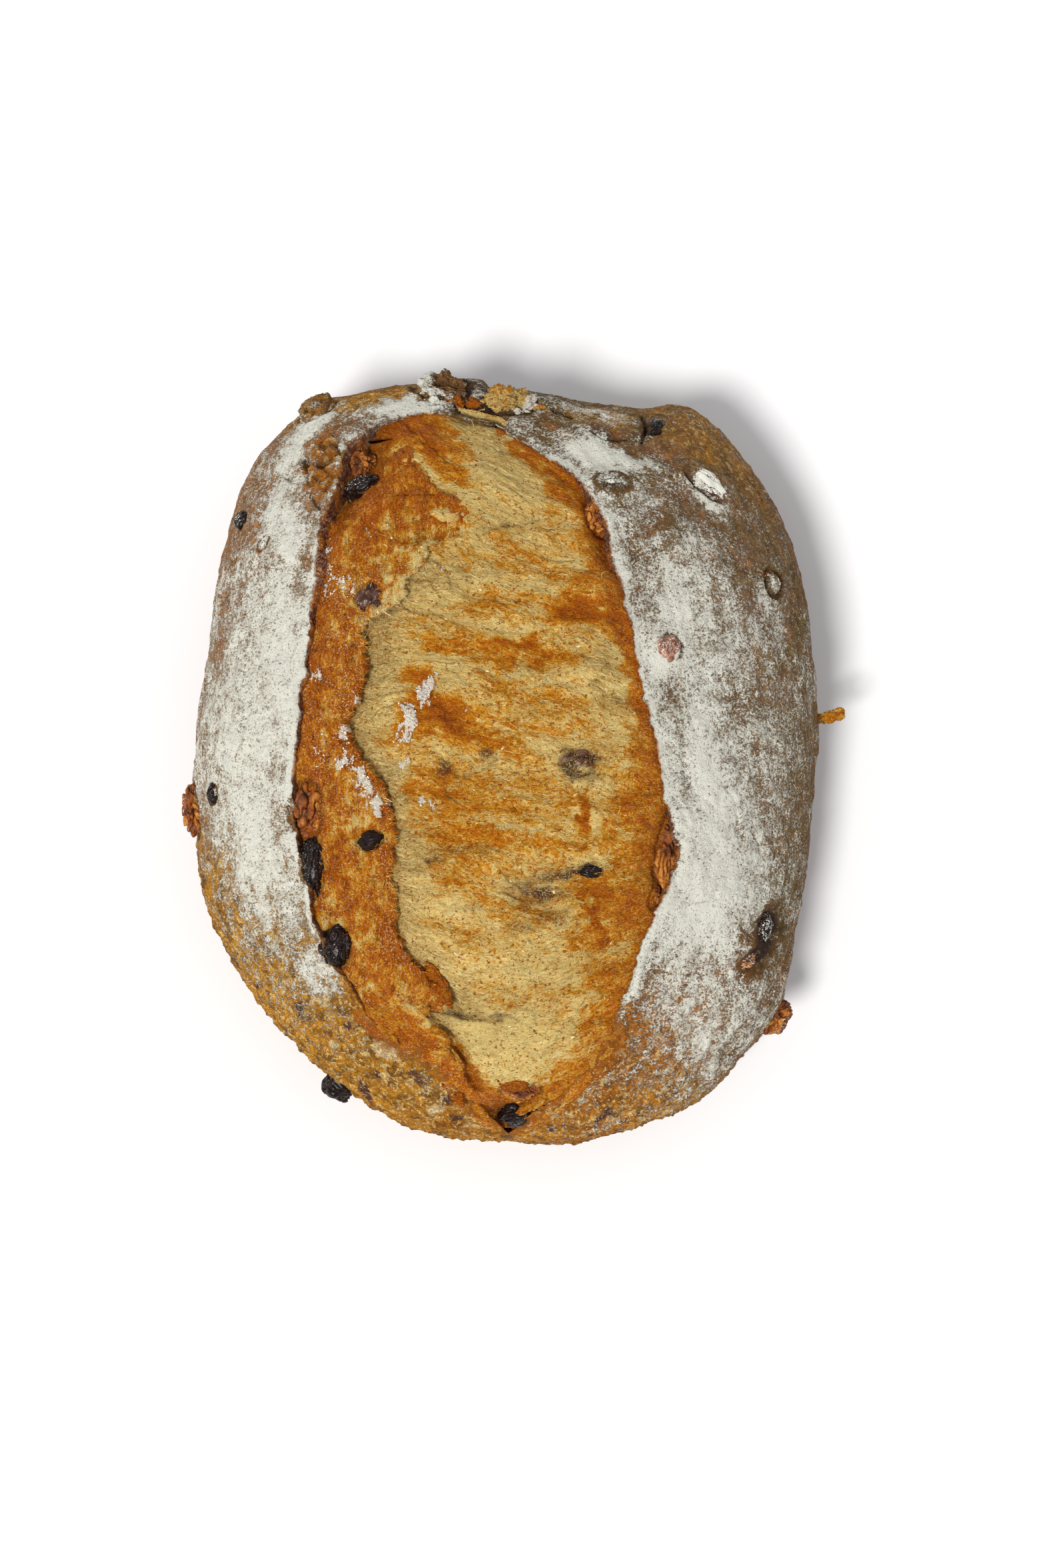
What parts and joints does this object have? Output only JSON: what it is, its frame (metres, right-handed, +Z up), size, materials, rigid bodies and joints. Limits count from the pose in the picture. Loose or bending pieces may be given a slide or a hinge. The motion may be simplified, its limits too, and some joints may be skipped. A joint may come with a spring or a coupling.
{
  "type": "sourdough loaf",
  "caption": "Oval walnut and raisin sourdough loaf with a wide torn score, floured crust and fruit and nuts standing out of it.",
  "frame": {"origin": "centre of the loaf's bounding box, on the table under its flat bottom", "axes": "+Y along the loaf's length towards the end with the walnuts, +X across it, +Z up"},
  "size_m": [0.1907, 0.2305, 0.0823],
  "materials": {
    "floured_crust": "matte baked crust, brown and grey under a rubbed coat of flour",
    "torn_crumb": "matte torn crumb, cream and yellow with toasted orange ridges",
    "flour": "dry matte flour",
    "raisin": "wrinkled, dark, with a soft gloss",
    "walnut": "toasted skin, satin, with paler broken faces"
  },
  "bodies": {
    "root": {"loaf": "floured_crust", "raisin_lip_left_upper": "raisin", "raisin_lip_left_lower": "raisin", "raisin_shelf_small": "raisin", "raisin_shelf_round": "raisin", "raisin_heel": "raisin", "raisin_edge_left": "raisin", "raisin_crown_right": "raisin", "raisin_hollow": "raisin", "raisin_shoulder_right": "raisin", "raisin_bump_right": "raisin", "raisin_flank_right": "raisin", "raisin_flank_left": "raisin", "raisin_side_left": "raisin", "raisin_side_left_inner": "raisin", "raisin_crumb_right": "raisin", "fruit_crumb": "raisin", "fruit_lip_right": "raisin", "walnut_lip_left": "walnut", "walnut_lip_right": "walnut", "walnut_lip_right_lower": "walnut", "walnut_lip_right_upper": "walnut", "walnut_hollow": "walnut", "walnut_oval_right": "walnut", "walnut_flank_right": "walnut", "walnut_flank_right_low": "walnut", "walnut_flank_left": "walnut", "walnut_shoulder_left": "walnut", "walnut_crown": "walnut", "walnut_heel": "walnut", "crumb_tuft": "torn_crumb"}
  },
  "joints": []
}
